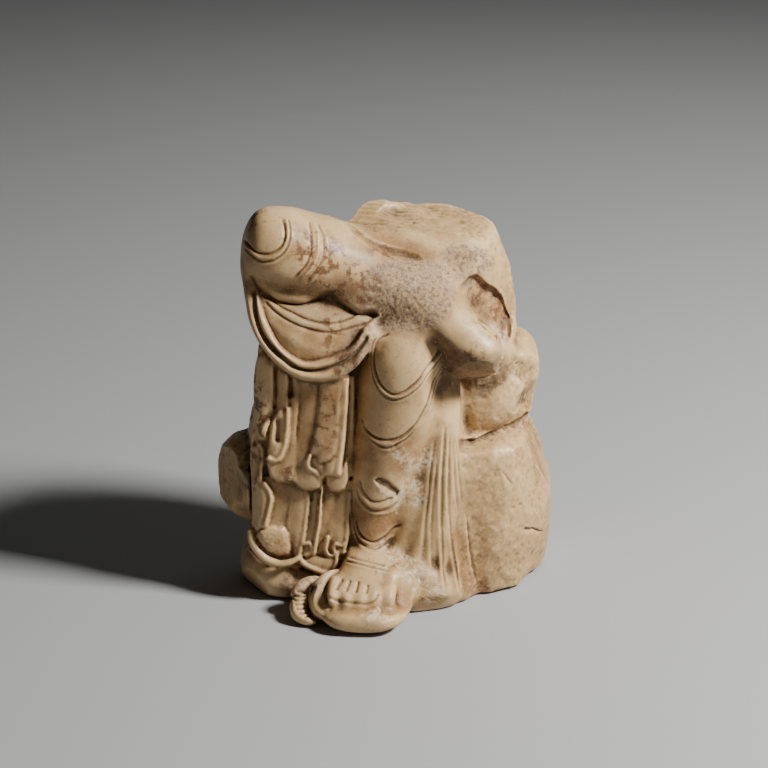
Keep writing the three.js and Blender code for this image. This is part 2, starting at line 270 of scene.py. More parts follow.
def in_view(points, depth=3.0):
    """1 on the nearest surface that the eye sees, fading to 0 from `depth` behind it on."""
    drawing, distance = seen(points)
    cell = np.floor(drawing).astype(int)
    cell -= cell.min(0)
    nearest = np.full(cell.max(0) + 1, np.inf)
    np.minimum.at(nearest, (cell[:, 0], cell[:, 1]), distance)
    return ease((nearest[cell[:, 0], cell[:, 1]] + depth + SIGHT_FADE - distance) / SIGHT_FADE)


def look(depth=3.0):
    """The figure's points, where they appear from the eye, and which of them it sees."""
    points = take()
    return points, seen(points)[0], in_view(points, depth)


def depth_inside(points, outline):
    """How far inside a closed outline points are, and below nothing how far outside."""
    outline = np.asarray(outline, float)
    closed = np.vstack([outline, outline[:1]])
    gap = line_distance(points, closed)[0]
    crossings = np.zeros(len(points), int)
    for (x0, y0), (x1, y1) in zip(closed[:-1], closed[1:]):
        if y0 != y1:
            level = (points[:, 1] > min(y0, y1)) & (points[:, 1] <= max(y0, y1))
            edge = x0 + (points[:, 1] - y0) / (y1 - y0) * (x1 - x0)
            crossings += level & (edge > points[:, 0])
    return np.where(crossings % 2 == 1, gap, -gap)


def round_line(points, line, reach):
    """Which points are near enough to a line to be touched by it, told by its box alone."""
    line = np.asarray(line, float)
    low = line.min(0) - reach
    high = line.max(0) + reach
    return np.flatnonzero(np.all((points >= low) & (points <= high), axis=1))


def push_back(spot, bite):
    """Moves points away from the eye by so many millimetres, where the eye sees them."""
    toward = points[spot] - EYE
    toward /= np.linalg.norm(toward, axis=1)[:, None]
    points[spot] += toward * (bite * visible[spot])[:, None]


def split(outline, line, depth, reach):
    """Drops what lies inside an outline along one line of it, sharply there and less further off."""
    spot = round_line(drawing, outline, 1)
    inside = ease((depth_inside(drawing[spot], outline) + 0.2) / 0.8)
    gap = line_distance(drawing[spot], line)[0]
    push_back(spot, depth * inside * ease(1 - gap / reach))


def cut_to_wall(outline, wall):
    """Takes what lies inside an outline back to an upright wall, given as stops across and depths."""
    spot = round_line(drawing, outline, 1)
    inside = ease((depth_inside(drawing[spot], outline) + 0.2) / 3.5)
    depth = np.interp(drawing[spot, 0], *zip(*wall))
    push_back(spot, np.clip(depth - points[spot, 1], 0, None) * inside)


SPLIT_EDGE = [
    (34.3, 44.3), (36.7, 45.2), (39.2, 46.1), (41.9, 43.8), (43.9, 41.8), (46.5, 40.7), (48.6, 38.4),
    (50.3, 36.3), (51.3, 33.3), (52.2, 30.6), (53.7, 27.7), (56.2, 27.8),
]
HOLLOW = SPLIT_EDGE + [
    (55.8, 23), (54, 18.5), (49.9, 15.9), (47.3, 21.2), (42.8, 25.7), (35.6, 28.4), (30.3, 29.3),
    (28.5, 38.2),
]
LESSER_CRACK = [(53.3, 27.3), (53.5, 23), (53.7, 19)]
ROCK_SEAM = [
    (32, -23.5), (34.5, -23.4), (39.2, -23), (42.6, -21.5), (46, -19.7), (49.4, -18), (54.2, -16.3),
    (58.3, -14), (61, -11.7),
]
BELOW_SEAM = ROCK_SEAM + [(65.7, -16.3), (61.7, -23.8), (46.7, -29.3), (32, -29.9)]
WAIST_CREASE = [(-17.9, 68.6), (-13.6, 63.9), (-6, 58.4), (-0.9, 55.4), (6, 53.1), (11.1, 52)]
WAIST_FRONT = WAIST_CREASE + [
    (17, 51.1), (27.3, 49.4), (33.2, 52), (31.5, 59.7), (23.9, 64.8), (12.8, 67.3), (-2.6, 69),
    (-11.1, 73.3), (-17, 73.3),
]
WAIST_WALL = [
    (-17, 8), (-12.8, 4), (-8.5, 0), (-3.4, -0.8), (2.6, -0.6), (8.5, -0.8), (14.5, -2), (20.5, -5),
]
points, drawing, visible = look(8)
cut_to_wall(WAIST_FRONT, WAIST_WALL)
split(HOLLOW, SPLIT_EDGE[:-2], depth=2.6, reach=6.0)
split(BELOW_SEAM, ROCK_SEAM, depth=4.5, reach=8.0)
put(points)


# The skirt hangs behind the crossed legs in two tiers of flat pleats, cut back from the block one in
# front of another. The left end of the upper tier is worn to a stump, the lower one turns up in a lobe,
# and the folded ends of the broad pleats show as small hooks above the hems.


def lay(level, outline, top, foot, edge, swell=0.3, tuck=0.0):
    """Brings a flat of cloth or stone to one depth at its outline's top and another at its foot.

    With `tuck` its left side goes under by that much, and its right side stands out as far.
    """
    outline = np.asarray(outline, float)
    spot = round_line(drawing, outline, edge)
    inside = depth_inside(drawing[spot], outline)
    share = ease((inside + 0.3) / (edge + 0.3))
    across, up = drawing[spot].T
    down = (outline[:, 1].max() - up) / np.ptp(outline[:, 1])
    slant, middle = np.polyfit(outline[:, 1], outline[:, 0], 1)
    half_width = np.abs(outline[:, 0] - slant * outline[:, 1] - middle).mean()
    to_right = np.clip((across - slant * up - middle) / half_width, -1, 1)
    crown = top + (foot - top) * down - swell * ease(inside / 4) - tuck * to_right
    level[spot] += share * (crown - level[spot])


def bring_forward(outline, top, foot, edge, tuck):
    """Fills a dip up to one depth at the top of an outline and another at its foot."""
    level = points[:, 1].copy()
    lay(level, outline, top, foot, edge, swell=0, tuck=tuck)
    level = np.minimum(level, points[:, 1])
    share = visible * (points[:, 1] < FRONT_OF_THE_ROCKS)
    reach = 1 + share * (level - points[:, 1]) / (points[:, 1] - EYE[1])
    points[:] = EYE + (points - EYE) * reach[:, None]
    return ease((depth_inside(drawing, outline) + 1) / 2) * share


def lay_roll(level, line, width, start, end, hollow):
    """Lays a rounded roll of cloth along a line, from one depth to another, with a cut beside it."""
    path = flowing(line)
    spot = round_line(drawing, path, width * 2.5)
    gap, along = line_distance(drawing[spot], path)
    gap /= width
    depth = start + (end - start) * along / along.max()
    level[spot] += hollow * np.exp(-((gap - 1.5) ** 2) / 0.12)
    roll = depth + width * (1 - np.sqrt(np.clip(1 - gap**2, 0, 1)))
    level[spot] = np.where(gap < 1, np.minimum(level[spot], roll), level[spot])


SKIRT = [
    (-53.7, 16.6), (-52, 13.6), (-48.2, 9.4), (-43.9, 6), (-39.2, 3.4), (-34.5, 1.7), (-27.3, 0.9),
    (-16.6, 2.1), (-12.4, 4.7), (-11.9, -6.8), (-12.8, -23.9), (-13.6, -40.9), (-14.3, -58),
    (-14.9, -68.6), (-16.2, -73.3), (-18.8, -78), (-21.3, -81), (-28.1, -81.8), (-33.2, -79.7),
    (-37.1, -78.8), (-43.9, -78.8), (-49.4, -78), (-54.5, -75), (-58.4, -69.9), (-61.4, -62.2),
    (-63.1, -51.6), (-63.1, -40.9), (-62.2, -30.3), (-61.4, -19.6), (-60.1, -6.8), (-58.8, 6),
    (-57.1, 14.5),
]
BEHIND_THE_CLOTH = -16.0
BESIDE_THE_LEG = -11.0
FRONT_OF_THE_ROCKS = 14
# Left of here the skirt turns away round the side.
TURN_START = -51
TURN_WIDTH = 8
TURN_DEPTH = 8
# Each flat of cloth, from the back to the front: its outline, and how deep its top and its foot lie.
LOWER_TIER = [
    ([(-60.3, -38.6), (-12.2, -40.7), (-12.7, -65.3), (-14.8, -68.3), (-17.4, -75.5), (-21.4, -80.6),
      (-35.8, -77.5), (-56.2, -65.3), (-61.4, -55)], -18.2, -20.6),
    ([(-58.8, -32.5), (-56.2, -26.4), (-53.4, -25.1), (-51.5, -26.4), (-52.1, -40.7), (-51.1, -41.7),
      (-48.5, -44.8), (-47.9, -48.9), (-49.1, -55), (-50.3, -60.6), (-54.2, -62.4), (-57.8, -59.1),
      (-60.3, -44.8)], -18.5, -20.8),
    ([(-39.7, -40.7), (-30.7, -40.7), (-31.5, -45.8), (-32.1, -50.9), (-33.1, -58.1), (-34.7, -66.3),
      (-36, -76), (-38.3, -76), (-38.6, -70.4), (-41.2, -62.7), (-41.7, -58.6), (-39.9, -49.9)],
     -19.2, -22),
    ([(-31.2, -40.7), (-26, -40.2), (-25.8, -48.9), (-27.6, -63.2), (-29.6, -73.4), (-32.7, -74),
      (-35, -72.9), (-35.5, -69.9), (-33.9, -65.3), (-32.5, -57.1), (-31.6, -48.9)], -18.9, -21.7),
    ([(-20.4, -40.7), (-13.3, -40.7), (-14.5, -48.9), (-15.1, -57.1), (-15.5, -65.3), (-16.5, -67.3),
      (-17.4, -72.6), (-19.2, -73.6), (-20.9, -70.4), (-21.4, -68.1), (-24.1, -65.5), (-22.5, -57.1)],
     -19.2, -22),
    ([(-36, -73), (-30.5, -73), (-25, -73.8), (-20.9, -72.6), (-19.9, -71), (-20.2, -76),
      (-21.4, -79.4), (-24, -80.3), (-27.1, -79.6), (-31.2, -78.4), (-35, -76.3)], -21, -22.5),
]
UPPER_TIER = [
    ([(-55.2, 12.5), (-12.2, 12.5), (-12.4, -38.6), (-15.3, -40.7), (-27.6, -42.7), (-50.1, -34.5),
      (-55.2, -24.3), (-56.2, -17.2)], -17.5, -19),
    ([(-54.7, 12.5), (-46.8, 7.4), (-46.5, -9), (-50.1, -13.1), (-53.2, -17.2), (-56, -26.4),
      (-58.1, -32.5), (-60.3, -40.7), (-57.3, -17.2), (-55.4, -3.8)], -17.8, -19.5),
    ([(-46, 8.4), (-40.7, 5.4), (-40.5, -3.8), (-40.7, -11), (-41.9, -17.2), (-45.5, -14.1),
      (-46.2, -9), (-46.2, -1.8)], -18.5, -20.3),
    ([(-39.7, 4.3), (-34.8, 3.3), (-36, -10), (-37.2, -21.2), (-36.8, -35.6), (-35.8, -43.8),
      (-39.1, -41.7), (-40.9, -42), (-45.2, -41.6), (-48.7, -39.3), (-50.3, -33.7), (-46, -31.5),
      (-42.3, -27.4), (-40.7, -17.2)], -19.4, -22.4),
    ([(-35.6, 5.4), (-26.1, 4.3), (-27.6, -17.2), (-28.6, -29.4), (-29.4, -34.5), (-26.4, -41.2),
      (-27.1, -44.8), (-31.5, -45.9), (-35.6, -44.6), (-38.1, -42.1), (-38.3, -35.6), (-37.3, -21.2),
      (-36.1, -10)], -20.3, -23.4),
    ([(-30.7, -28.4), (-25.3, -31.5), (-24.7, -39.3), (-26.2, -41.3), (-27.2, -39.9), (-29.4, -37.6),
      (-31.1, -35.1)], -23, -23.6),
    ([(-25.1, -36.6), (-18.4, -36.6), (-15.7, -31.5), (-15.1, -40.7), (-16.7, -44.8), (-19.4, -46.3),
      (-22.5, -45.5), (-24.7, -42.9)], -22, -23),
    ([(-45.5, -11.5), (-40.9, -10.6), (-40.9, -17.2), (-41.9, -26.4), (-43.8, -32.1), (-46.5, -33.2),
      (-50.1, -32.1), (-49.7, -26.4), (-48.5, -18.2), (-47.2, -14.1)], -21, -23),
    ([(-27.1, 5.4), (-15.1, 5.4), (-16, -14.1), (-17.5, -26.4), (-19.1, -37.6), (-19.9, -39.3),
      (-25.3, -39.3), (-25.5, -33.8), (-27.6, -33.5), (-29, -30.9), (-31.9, -30.3), (-30.5, -24.3),
      (-29, -17.2), (-27.7, -5.9)], -22.2, -25.2),
]
# Deep cuts where the pleats come out from under the swag, and the hollow in the end of the worn one.
PARTINGS = [
    ([(-46.4, 6.9), (-46.2, -1.8), (-46.6, -9.5)], 0.8, 2.6),
    ([(-40.1, 4.3), (-39.7, 0.2), (-39.7, -4.4)], 1, 3),
    ([(-45.2, -15.9), (-45.2, -19.2), (-45.5, -23.8)], 1.1, 2),
    ([(-31.5, -30.7), (-29, -30.9), (-27.5, -33.5), (-25.3, -33.8), (-22.7, -32.5), (-21.4, -30.7)],
     0.5, 0.8),
    ([(-31.7, -46), (-31.2, -48.9)], 0.8, 1.5),
]
# The stump where the left pleats have crumbled.
CRUMBLED = [
    (-54.4, -17.7), (-49.6, -14.1), (-46.8, -14.6), (-48.1, -19.2), (-49.5, -24.3), (-53.2, -24.5),
    (-55, -21.5),
]
# The rolled edges and hooks of the broad pleats: a line, half its width, and its depths at both ends.
ROLLS = [
    ([(-41.2, -10.8), (-41.2, -17.2), (-42.1, -25.3), (-43.3, -29.4), (-44.8, -31.9), (-47, -32.7),
      (-49.3, -31.7)], 1.1, -22.2, -23.9),
    ([(-16.1, 3.3), (-16.9, -14.1), (-18.3, -27.4), (-19.8, -38.1)], 1.2, -23.1, -26),
    ([(-31.7, -30.7), (-32.7, -33.3), (-32, -36), (-29.4, -37.6), (-27.2, -39.9)], 0.9, -24.2, -23.9),
    ([(-27.2, -39.9), (-26.4, -44.8), (-27, -49.9), (-27.7, -59.1), (-28.8, -65.3), (-30, -72.2)],
     0.7, -22.6, -22.9),
    ([(-32.2, -47.3), (-32.9, -55), (-34.5, -65.3), (-36.8, -75.5)], 0.8, -20.6, -22.6),
    ([(-14.7, -46.8), (-15.5, -57.1), (-15.9, -65.3), (-17.4, -72.2)], 0.8, -20.6, -22.6),
    ([(-34.5, -68.3), (-32.2, -67.7), (-31, -68.9), (-31.2, -71.4), (-32.5, -72.6), (-33.9, -73)],
     0.7, -22.3, -22.3),
    ([(-24.1, -65.5), (-24.6, -68.3), (-24.8, -70.6), (-23.8, -72.7), (-22.2, -73.4), (-21.2, -72.2),
      (-21.4, -70), (-20.8, -68.3), (-18.4, -69.1), (-16.7, -68.1)], 0.75, -22.3, -22.5),
    ([(-53.4, -25.5), (-52, -28.4), (-52.3, -34.5), (-52.8, -40.7)], 0.9, -19.9, -20.7),
    ([(-51.1, -42.3), (-48.9, -45.6), (-48.2, -49.4), (-49.2, -54.5), (-50.7, -60.5)], 1, -20.8, -21.8),
]
# The lobe in which the lower tier turns up.
LOBE = [
    (-53.4, -61.4), (-48.1, -59.9), (-42.1, -60.6), (-39.7, -64.2), (-38.8, -70.4), (-40.3, -73.4),
    (-44.5, -74.1), (-49.6, -72.6), (-53.2, -69.1), (-55, -64.4),
]
# Thick edges joined on: the rims of the lobe, of the lower tier and of the pad, and the petal.
EDGE_COILS = [
    ([(-57.1, -61.8), (-56.2, -67.1), (-53.5, -71.6), (-49.3, -75.1), (-44.4, -76.6), (-39.7, -75.8),
      (-36.2, -73.8)], (-17.3, -19, -20.6, -21.6, -22.1, -22.3, -22),
     (1, 1.6, 1.75, 1.75, 1.7, 1.6, 1.1)),
    ([(-35.8, -73.2), (-34.7, -76.1), (-31.2, -78.1), (-27.1, -79.6), (-24, -80.2), (-21.7, -79.2),
      (-20.5, -76), (-20.2, -71.6)], (-21.4, -21.6, -21.8, -22, -22.2, -22.2, -22, -21.6),
     (0.8, 1.2, 1.3, 1.3, 1.3, 1.2, 1, 0.8)),
    ([(-19.6, -79.3), (-23.4, -81.8), (-27.1, -85.7), (-28.8, -89.5), (-28.8, -93.8), (-26.8, -97.2),
      (-22.6, -100.1)], (-29, -33, -36, -38.6, -41.6, -45, -49), (0.8, 2.2, 3, 3.2, 3.1, 2.8, 1.6)),
    ([(-21.3, -83.5), (-24.3, -86.9), (-26, -90.8), (-25.6, -94.6), (-22.2, -97.6)],
     (-33, -36, -39, -42, -46), (3, 3.4, 3.8, 3.8, 3.6)),
    ([(-28.6, -84.4), (-31.1, -87.8), (-31.7, -91.6), (-31.3, -95.5), (-29.8, -98.4)],
     (-28, -31, -34.5, -37.5, -40.5), (2.2, 2.6, 2.8, 2.8, 2.4)),
    ([(-28.1, -83.5), (-32, -85.2), (-35.4, -87.8), (-37.1, -91.2)], (-26.5, -29.3, -32, -34.5),
     (2, 3.2, 3.6, 3.2)),
]
# The toes of the rough block, rubbed away for the slab they are cut from, and the dip filled beside it.
TOES = [
    (-24.7, -86.9), (-20.9, -80.5), (-14.5, -78.8), (-3.4, -79.7), (6, -77.6), (14.5, -81),
    (17, -90.3), (11.1, -98.9), (3.4, -98), (-10.2, -98), (-22.6, -95.5),
]
RIGHT_OF_TOES = [
    (0, -79.3), (6, -76.3), (12.8, -80.1), (16.2, -86.1), (15.3, -92), (10.2, -97.2), (4.3, -96.7),
    (0.9, -91.2),
]

points, drawing, visible = look(8)
in_skirt = ease((depth_inside(drawing, SKIRT) + 0.8) / 1.6) * in_view(points)
in_skirt *= ease((2 - points[:, 1]) / 4)
near_leg = ease((drawing[:, 0] + 15.5) / 2)
level = BEHIND_THE_CLOTH + (BESIDE_THE_LEG - BEHIND_THE_CLOTH) * near_leg
for outline, top, foot in LOWER_TIER + UPPER_TIER:
    lay(level, outline, top, foot, edge=0.7, tuck=0.5)
for line, width, depth in PARTINGS:
    gap = line_distance(drawing, flowing(line))[0]
    level += depth * np.exp(-((gap / width) ** 2))
lay(level, CRUMBLED, -20, -21, edge=2.5, swell=1.0)
lay(level, LOBE, -20.8, -22, edge=1.8, swell=0.8)
for line, width, start, end in ROLLS:
    lay_roll(level, line, width, start, end, hollow=0.3)
level += np.clip((TURN_START - drawing[:, 0]) / TURN_WIDTH, 0, 1) ** 2 * TURN_DEPTH
reach = (level - EYE[1]) / (points[:, 1] - EYE[1])
moved = EYE + (points - EYE) * reach[:, None]
points += in_skirt[:, None] * (moved - points)
filled = bring_forward(RIGHT_OF_TOES, -34.0, -44.0, edge=4.0, tuck=-3.0)
put(points)
weigh("skirt", np.maximum(in_skirt, filled))
weigh("toes", ease((depth_inside(drawing, TOES) + 1) / 3) * visible)
rub_down(2, "skirt")
rub_down(70, "toes")
figure.vertex_groups.clear()
for line, depths, radii in EDGE_COILS:
    coil(line, depths, radii)
fresh_skin(FINE_SKIN)
rub_down(2)


# The half round of cloth under the raised leg is a thin sheet with a doubled edge. Two flat welts run
# round it, and a slack fold crosses the hollow above them, in the shade of the shin.
def cut(line, width, depth, fade=2.5):
    """Cuts a line into what the eye sees, or raises it where the depth is below nothing."""
    path = flowing(line)
    spot = round_line(drawing, path, width * 3)
    gap, along = line_distance(drawing[spot], path)
    whole = np.linalg.norm(np.diff(path, axis=0), axis=1).sum()
    ends = ease(along / fade) * ease((whole - along) / fade)
    bite = depth * np.exp(-((gap / width) ** 2)) * ends * visible[spot]
    points[spot] -= normals[spot] * bite[:, None]


def sink(outline, depth, edge):
    """Lowers what the eye sees inside an outline."""
    outline = flowing(outline, closed=True)
    spot = round_line(drawing, outline, edge)
    push_back(spot, depth * ease((depth_inside(drawing[spot], outline) + edge / 2) / edge))


def groove(line, width, depth):
    """Cuts a line straight back from the eye, where a surface is too steep for `cut`."""
    path = flowing(line)
    spot = round_line(drawing, path, width * 3)
    gap = line_distance(drawing[spot], path)[0]
    push_back(spot, depth * np.exp(-((gap / width) ** 2)))


SWAG_WELT_GAP = [
    (-56, 40.9), (-54.5, 29), (-52.2, 21.6), (-47.6, 15.3), (-42.5, 10.8), (-36.8, 6.8), (-30, 5.6),
    (-23.1, 6.8), (-17.4, 9), (-12.8, 12.5), (-8.8, 17), (-6.6, 21.1),
]
SWAG_BOWL_EDGE = [
    (-53.7, 38.8), (-51.1, 29), (-48.2, 22.8), (-44.8, 17), (-40.2, 12.5), (-34.5, 9.6), (-28.8, 9.9),
    (-21.9, 11.9), (-16.2, 14.7), (-11.7, 19.3), (-8.9, 23.9),
]
# The two welts, and half the width of each.
SWAG_WELTS = [
    ([(-58.8, 42.6), (-57.5, 33.7), (-55, 24.3), (-50.7, 15.8), (-44.7, 9.4), (-37.5, 4.7),
      (-29.4, 3.4), (-20.9, 4.3), (-14.5, 7.2), (-9.4, 12.4), (-6.4, 16.6)], 1.3),
    ([(-54.3, 38.8), (-52.8, 29.4), (-50.1, 22.2), (-46, 16.2), (-41.1, 11.3), (-35.4, 8.1),
      (-29, 7.7), (-22.6, 9.4), (-16.6, 11.9), (-11.9, 16.2), (-8.5, 20.9)], 1),
]
SHIN_EDGE = [
    (-57.9, 46.2), (-55.1, 41.6), (-50.5, 38.7), (-45.9, 36.4), (-39.1, 35), (-34.5, 35),
    (-29.4, 36.4), (-23.1, 38.1), (-18, 34.7), (-11.7, 30.7), (-6.6, 30.2), (-2.6, 29.4),
]
SLACK_FOLD_TOP = [
    (-52.2, 37.6), (-47.6, 35.3), (-43.6, 32.4), (-39.1, 30.2), (-34.5, 27.9), (-30, 26.5),
    (-24.2, 25.6), (-18, 26.5), (-11.7, 29),
]
SLACK_FOLD_FOOT = [
    (-51.6, 36.4), (-47.1, 31.3), (-41.9, 27.6), (-36.8, 25), (-31.1, 23.1), (-24.2, 21.9),
    (-18, 22.8), (-12.8, 24.5), (-7.1, 26.5),
]

points, drawing, visible = look()
normals = read(figure.data.vertex_normals, "vector")
sink(SWAG_BOWL_EDGE + SHIN_EDGE[::-1], depth=1.8, edge=1.2)
sink(SLACK_FOLD_TOP + SHIN_EDGE[-3:1:-1], depth=1.2, edge=0.8)
cut(SWAG_WELT_GAP, width=0.75, depth=1.3)
for line, width in SWAG_WELTS:
    cut(line, width, depth=-0.8, fade=5)
cut(SWAG_BOWL_EDGE, width=0.6, depth=0.5)
cut(SLACK_FOLD_TOP, width=0.6, depth=0.9)
cut(SLACK_FOLD_FOOT, width=0.6, depth=0.7)
cut(SHIN_EDGE, width=1.3, depth=1.6)


# The robe clings to the legs and shows only as cut lines, a fold being two of them side by side with a
# low welt between. They ring both knees and the shin, and below the shin they stop at the broken crust.
def even(line, count):
    """A line again, through so many evenly spaced points."""
    path = flowing(line)
    along = np.append(0, np.cumsum(np.linalg.norm(np.diff(path, axis=0), axis=1)))
    posts = np.linspace(0, along[-1], count)
    return np.stack([np.interp(posts, along, path[:, 0]), np.interp(posts, along, path[:, 1])], 1)


FOLD_POSTS = 24


def fold(inner, outer, depth=0.75):
    """Cuts a fold: a deep line inside, a fine one outside, a bead between and a lip beyond."""
    inner = even(inner, FOLD_POSTS)
    outer = even(outer, FOLD_POSTS)
    cut(inner, width=0.5, depth=depth)
    cut(0.45 * inner + 0.55 * outer, width=0.6, depth=-0.45)
    cut(outer, width=0.4, depth=depth * 0.6)
    cut(1.3 * outer - 0.3 * inner, width=0.5, depth=-0.25)


RAISED_KNEE = (
    [(-59.9, 62.2), (-58.4, 60.1), (-55.6, 57.1), (-52.8, 55.6), (-49.4, 55.4), (-46.4, 56.7),
     (-43.7, 59), (-42.2, 63.1), (-42.6, 68.2), (-43.5, 71.2)],
    [(-59.7, 58.8), (-57.3, 55.8), (-54.3, 53.1), (-51.6, 52), (-48.6, 52.2), (-45.2, 53.7),
     (-42, 56.7), (-40.1, 61.8), (-40.1, 67.3), (-41.3, 71)],
)
THIGH = (
    [(-38.8, 44.7), (-36, 47.7), (-33.5, 50.5), (-31.7, 54.5), (-31.1, 58.4), (-30.9, 63.1),
     (-31.3, 66.1), (-32.1, 70.1)],
    [(-33.7, 42.6), (-31.1, 45.6), (-28.6, 49), (-26.5, 52.7), (-25.8, 56.2), (-25.8, 59.7),
     (-26.4, 63.9), (-28.6, 69)],
)
LOW_KNEE = (
    [(2.8, 21.7), (-1.8, 19.4), (-4.1, 14.9), (-4.4, 9), (-3.1, 3.2), (-0.5, -1.4), (3.4, -4.3),
     (7.3, -4), (11.2, -1.4), (15.2, 2.5), (17.8, 7), (19.7, 12.3), (20, 17.5)],
    [(-2.6, 20.5), (-4.3, 17.9), (-5.3, 14.2), (-5.5, 7.7), (-4.1, 1.2), (-1.2, -4), (2.8, -6.6),
     (7.3, -6.6), (11.9, -4), (16.5, 0.5), (19.7, 5.8), (21.1, 10.7), (21.5, 16.2)],
)
SHIN_FOLDS = [
    ([(-9.8, -13.6), (-8.7, -17.7), (-6.3, -21), (-2.4, -23.3), (2.8, -23.9), (7.3, -22.6),
      (11.2, -19.7), (14.5, -15.8), (17.1, -11.2), (20.4, -5.3), (23, 0.5), (24.3, 5.8)],
     [(-9.4, -17), (-8, -20.3), (-5.1, -24.2), (-1.2, -26.8), (2.8, -27.2), (6.4, -25.4), (10, -23),
      (13.8, -18.4), (17.8, -12.5), (21.7, -6), (24.1, -0.9), (25.4, 4.3)]),
    ([(-10.7, -40.1), (-9.6, -44.7), (-8.3, -46.7), (-5.7, -49.7), (-1.8, -50.4), (2.8, -49),
      (4.7, -47.7)],
     [(-11.7, -43.9), (-10.9, -48.2), (-8.9, -51), (-5.7, -53.6), (-1.8, -54.2), (2.8, -53),
      (6.1, -49.7)]),
    ([(-12.1, -57.1), (-11.6, -60.8), (-9.6, -64.7), (-6.3, -67), (-3.1, -67), (0.8, -64.7),
      (4.1, -61.4), (8, -59.5)],
     [(-13.2, -56.2), (-12.8, -60.5), (-11.3, -65.4), (-8.3, -68.9), (-5.5, -70), (-3, -70.1),
      (0, -68.6), (3, -66.9)]),
]
for inner, outer in [RAISED_KNEE, THIGH, LOW_KNEE] + SHIN_FOLDS:
    fold(inner, outer)


# Beside the leg the robe falls to the ground in a fan of shallow folds from under the broken foot. Each
# is a soft cut, with a low welt left standing on its left.
WELT_ASIDE = 1.3
# A line, and how deep it is cut.
FAN = [
    ([(22.8, -20.4), (21, -29.3), (19.9, -37.4), (19, -47.6), (17.7, -57.8), (16.9, -68),
      (16.2, -75.5)], 0.3),
    ([(26.3, -15.7), (25.6, -27.2), (24.8, -37.4), (24.5, -47.6), (24.5, -61.2), (25.1, -74.8),
      (26, -83.7), (27.1, -89.1)], 0.6),
    ([(23, -29.3), (22, -39.5), (20.9, -49), (20.3, -59.9), (20.3, -71.4), (20.9, -81.6)], 0.3),
    ([(28.2, -18.4), (28.1, -27.2), (27.7, -37.4), (27.7, -47.6), (28.5, -61.2), (30.1, -74.8),
      (31.6, -83), (33.4, -91.1)], 0.6),
    ([(29.8, -19.1), (29.8, -29.3), (30.3, -37.4), (31.1, -47.6), (32.7, -57.8)], 0.4),
    ([(31.5, -20.4), (31.7, -29.3), (32.3, -37.4), (33.4, -47.6), (35.3, -57.8), (36.6, -68),
      (38.3, -78.9), (40.3, -87.1)], 0.6),
]
for line, depth in FAN:
    cut(line, width=0.65, depth=depth, fade=8)
    welt = [(across - WELT_ASIDE, up) for across, up in line]
    cut(welt, width=0.8, depth=-0.5 * depth, fade=8)


# The foot stands bare on a thick rounded pad of the rocks' own stone. Its toes are one slab with four
# short cuts, a hem crosses the ankle, and a ribbed petal curls out beside the pad.
TOE_CUTS = [
    [(-17.6, -82.5), (-20.4, -88)],
    [(-14.3, -83.1), (-16.4, -88.8)],
    [(-10.7, -83.7), (-12.3, -89.3)],
    [(-6.8, -85.2), (-7.6, -89.9)],
]
FOOT_EDGE = [
    (-20.1, -78.3), (-24, -84.7), (-25.6, -88.8), (-25, -90.3), (-22.1, -91.7), (-16.3, -93),
    (-10.4, -93.7), (-7, -93.6), (-4.3, -92.5), (-2.8, -90.2),
]
ANKLE_HEM = (
    [(-16.2, -73.3), (-11.5, -74.6), (-6.7, -75.6), (-2.6, -76.5), (1.7, -77.6)],
    [(-17.3, -75.2), (-12.4, -76.5), (-7.2, -77.7), (-2, -78.8), (3.4, -80.1)],
)
PETAL_GAP = [(-30.1, -86.6), (-31.8, -91.1), (-32.1, -95.3), (-30.9, -98.9), (-28.4, -100.5)]
PETAL_RIBS = [
    [(-37.9, -88.3), (-32.4, -88.9)],
    [(-38.9, -90.2), (-33, -90.5)],
    [(-39.1, -92.1), (-33.1, -92.1)],
    [(-38.7, -93.9), (-33, -93.7)],
    [(-38, -95.8), (-32.6, -95.4)],
    [(-36.7, -97.8), (-31.9, -97.1)],
    [(-34.8, -99.5), (-31.1, -98.4)],
]
for line in TOE_CUTS:
    cut(line, width=0.6, depth=0.8, fade=1.0)
groove(FOOT_EDGE, width=0.7, depth=0.6)
groove(PETAL_GAP, width=0.9, depth=3.5)
fold(*ANKLE_HEM, depth=0.5)
for line in PETAL_RIBS:
    cut(line, width=0.55, depth=0.9, fade=1.0)


# A blow has chipped the shin of the hanging leg, down to fresh white marble. Fine cracks run along the
# split at the hip, and the rocks have small pits and cracks of their own.
GOUGE = [(-2.4, -39.3), (-0.5, -40.8), (1.8, -42), (3.7, -43.9), (6.6, -45.4)]
GOUGE_BED = GOUGE + [(5.6, -47.6), (3.3, -48.7), (0.1, -46.6), (-2.6, -43.5), (-4.3, -40.8)]
# A line, half its width, and how deep it is cut.
PITS_AND_CRACKS = [
    ([(56.9, -29.4), (58.2, -30.7)], 1.3, 1.6),
    ([(59.7, -61.6), (61.8, -62), (63.9, -61.8), (66.1, -62.6), (67.8, -62.4)], 0.45, 0.8),
    ([(50.3, -37.1), (52.8, -40.1), (54.5, -42.6)], 0.5, 0.5),
    ([(57.5, -50.7), (58.4, -52)], 0.8, 1),
    ([(54.5, -52), (55.4, -53.3)], 0.8, 0.9),
    ([(37.1, -12.8), (37.9, -13.6)], 0.8, 1),
    ([(56.2, 9.4), (56.7, 8.1)], 0.8, 0.8),
]
cut(SPLIT_EDGE[:-1], width=0.6, depth=1.0)
cut(LESSER_CRACK, width=0.6, depth=1.2)
split(GOUGE_BED, GOUGE, depth=1.6, reach=4.5)
cut(GOUGE, width=0.6, depth=1.0)
for line, width, depth in PITS_AND_CRACKS:
    cut(line, width, depth, fade=1.0)
put(points)


